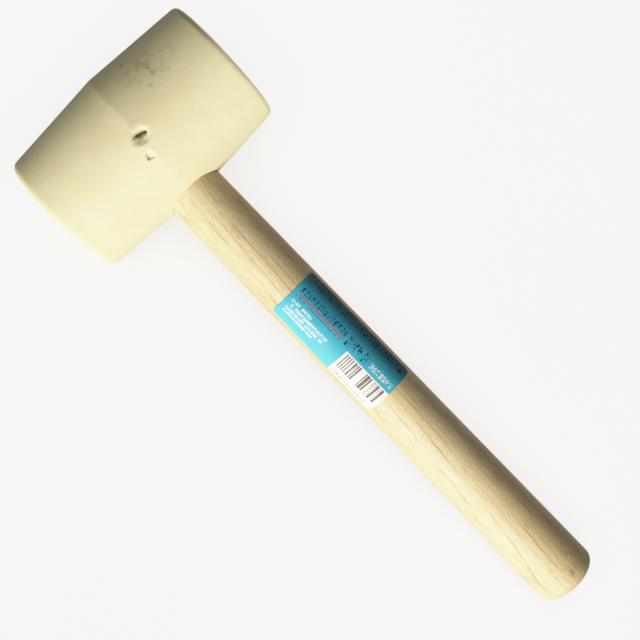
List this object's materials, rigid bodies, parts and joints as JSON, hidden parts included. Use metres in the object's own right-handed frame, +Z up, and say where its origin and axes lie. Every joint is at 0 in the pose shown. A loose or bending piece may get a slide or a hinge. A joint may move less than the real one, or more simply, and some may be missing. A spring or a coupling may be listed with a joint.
{
  "type": "rubber mallet",
  "caption": "Rubber mallet with a cream two-cone barrel head, slightly crowned faces, a tapered pale wooden handle bonded into a blind socket, and a blue label stuck over the top of the handle.",
  "frame": {"origin": "bottom centre of the whole mallet's box as it lies at rest, on the surface it lies on", "axes": "+Z up; the handle lies towards -Y, dipping 3.7 degrees to its butt; the head's axis runs along X, dipping 3.6 degrees to the -X face, because the mallet rests on the -X cone of its head and on the rim of its butt"},
  "size_m": [0.1092, 0.3338, 0.0712],
  "materials": {
    "head_rubber": "matte cream moulded rubber",
    "handle_wood": "turned and sanded pale softwood, bare",
    "bond_adhesive": "cured amber adhesive",
    "label_film": "printed blue film"
  },
  "bodies": {
    "root": {"rubber_head": "head_rubber", "wooden_handle": "handle_wood", "adhesive_cup": "bond_adhesive", "label": "label_film"}
  },
  "joints": []
}
